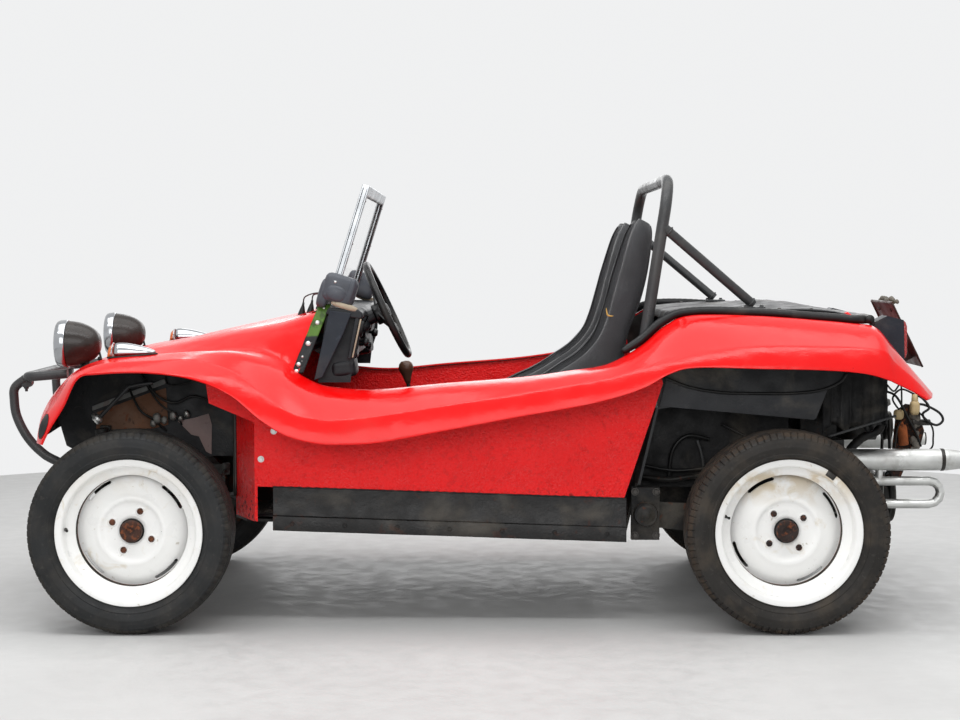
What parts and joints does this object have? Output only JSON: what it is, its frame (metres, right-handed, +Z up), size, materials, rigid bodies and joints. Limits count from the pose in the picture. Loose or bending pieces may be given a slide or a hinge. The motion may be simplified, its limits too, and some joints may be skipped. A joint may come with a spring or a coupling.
{
  "type": "dune buggy",
  "caption": "Open two-seat dune buggy with a swept plastic body, exposed wheels, roll hoop, low windscreen, bucket seats and a rear engine.",
  "frame": {"origin": "on the ground under the centre of the object's box", "axes": "+X towards the front of the vehicle, +Y to its left, +Z up"},
  "size_m": [3.1361, 1.4902, 1.4098],
  "materials": {
    "gelcoat_red": "gloss",
    "panel_red": "rough satin",
    "chassis_black": "satin",
    "tube_grey": "satin",
    "cover_black": "wrinkled matte",
    "moulding_black": "satin",
    "dash_black": "matte",
    "strip_green": "matte",
    "screen_aluminium": "brushed",
    "screen_glass": "clear",
    "seat_vinyl": "satin",
    "wheel_plastic": "gloss",
    "lamp_chrome": "polished",
    "lamp_black": "satin",
    "plate_paint": "satin",
    "tank_brown": "rusty matte",
    "cast_alloy": "dull cast",
    "engine_black": "oily satin",
    "exhaust_silver": "satin",
    "rim_white": "gloss",
    "tyre_black": "matte",
    "drum_brown": "rusty"
  },
  "bodies": {
    "chassis": {"floor_pan": "chassis_black", "frame_head": "chassis_black", "sills": "chassis_black", "side_panels": "panel_red", "front_bulkhead": "chassis_black", "rear_bulkhead": "chassis_black", "bonnet": "gelcoat_red", "body_side_left": "gelcoat_red", "body_side_right": "gelcoat_red", "tail_panel": "gelcoat_red", "rear_well": "chassis_black", "rear_cover": "cover_black", "rim_moulding": "moulding_black", "dashboard": "dash_black", "screen_pillars": "strip_green", "windscreen_frame": "screen_aluminium", "windscreen_glass": "screen_glass", "wipers": "chassis_black", "steering_column": "chassis_black", "levers": "chassis_black", "pedals": "chassis_black", "seat_left": "seat_vinyl", "seat_right": "seat_vinyl", "roll_hoop": "tube_grey", "front_bumper": "tube_grey", "headlights": "lamp_chrome", "indicators": "lamp_chrome", "tail_lights": "lamp_black", "number_plate": "plate_paint", "fuel_tank": "tank_brown", "front_beam": "chassis_black", "steering_box": "chassis_black", "rear_torsion": "chassis_black", "spring_plates": "chassis_black", "gearbox": "cast_alloy", "axle_tubes": "chassis_black", "engine": "engine_black", "fan_shroud": "engine_black", "exhaust": "exhaust_silver"},
    "knuckle_left": {"knuckle_left": "chassis_black"},
    "knuckle_right": {"knuckle_right": "chassis_black"},
    "wheel_front_left": {"rim_front_left": "rim_white", "tyre_front_left": "tyre_black", "drum_front_left": "drum_brown"},
    "wheel_front_right": {"rim_front_right": "rim_white", "tyre_front_right": "tyre_black", "drum_front_right": "drum_brown"},
    "wheel_rear_left": {"rim_rear_left": "rim_white", "tyre_rear_left": "tyre_black", "drum_rear_left": "drum_brown"},
    "wheel_rear_right": {"rim_rear_right": "rim_white", "tyre_rear_right": "tyre_black", "drum_rear_right": "drum_brown"},
    "steering_wheel": {"steering_wheel": "wheel_plastic"},
    "drop_arm": {"drop_arm": "chassis_black"},
    "tie_rod_left": {"tie_rod_left": "chassis_black"},
    "tie_rod_right": {"tie_rod_right": "chassis_black"}
  },
  "joints": [
    {"name": "steer_left", "type": "hinge", "parent": "chassis", "child": "knuckle_left", "pos_m": [1.1055, 0.57, 0.311], "axis": [0, 0, 1], "range_deg": [-28, 28]},
    {"name": "steer_right", "type": "hinge", "parent": "chassis", "child": "knuckle_right", "pos_m": [1.1055, -0.57, 0.311], "axis": [0, 0, 1], "range_deg": [-28, 28]},
    {"name": "drop_arm_turn", "type": "hinge", "parent": "chassis", "child": "drop_arm", "pos_m": [1.1055, 0.3, 0.371], "axis": [0, 0, 1], "range_deg": [-28, 28]},
    {"name": "tie_rod_left_pivot", "type": "hinge", "parent": "knuckle_left", "child": "tie_rod_left", "pos_m": [0.9855, 0.57, 0.371], "axis": [0, 0, -1], "range_deg": [-28, 28]},
    {"name": "tie_rod_right_pivot", "type": "hinge", "parent": "knuckle_right", "child": "tie_rod_right", "pos_m": [0.9855, -0.57, 0.371], "axis": [0, 0, -1], "range_deg": [-28, 28]},
    {"name": "steering_wheel_turn", "type": "hinge", "parent": "chassis", "child": "steering_wheel", "pos_m": [0.3375, 0.33, 0.979], "axis": [-0.9063, 0, 0.4226], "range_deg": [-392, 392]},
    {"name": "spin_front_left", "type": "hinge", "parent": "knuckle_left", "child": "wheel_front_left", "pos_m": [1.1055, 0.655, 0.311], "axis": [0, 1, 0], "continuous": true},
    {"name": "spin_front_right", "type": "hinge", "parent": "knuckle_right", "child": "wheel_front_right", "pos_m": [1.1055, -0.655, 0.311], "axis": [0, 1, 0], "continuous": true},
    {"name": "spin_rear_left", "type": "hinge", "parent": "chassis", "child": "wheel_rear_left", "pos_m": [-0.9005, 0.655, 0.311], "axis": [0, 1, 0], "continuous": true},
    {"name": "spin_rear_right", "type": "hinge", "parent": "chassis", "child": "wheel_rear_right", "pos_m": [-0.9005, -0.655, 0.311], "axis": [0, 1, 0], "continuous": true}
  ],
  "couplings": [
    {"joint": "steer_right", "follows": "steer_left", "ratio": 1},
    {"joint": "drop_arm_turn", "follows": "steer_left", "ratio": 1},
    {"joint": "tie_rod_left_pivot", "follows": "steer_left", "ratio": 1},
    {"joint": "tie_rod_right_pivot", "follows": "steer_left", "ratio": 1},
    {"joint": "steering_wheel_turn", "follows": "steer_left", "ratio": 14}
  ]
}
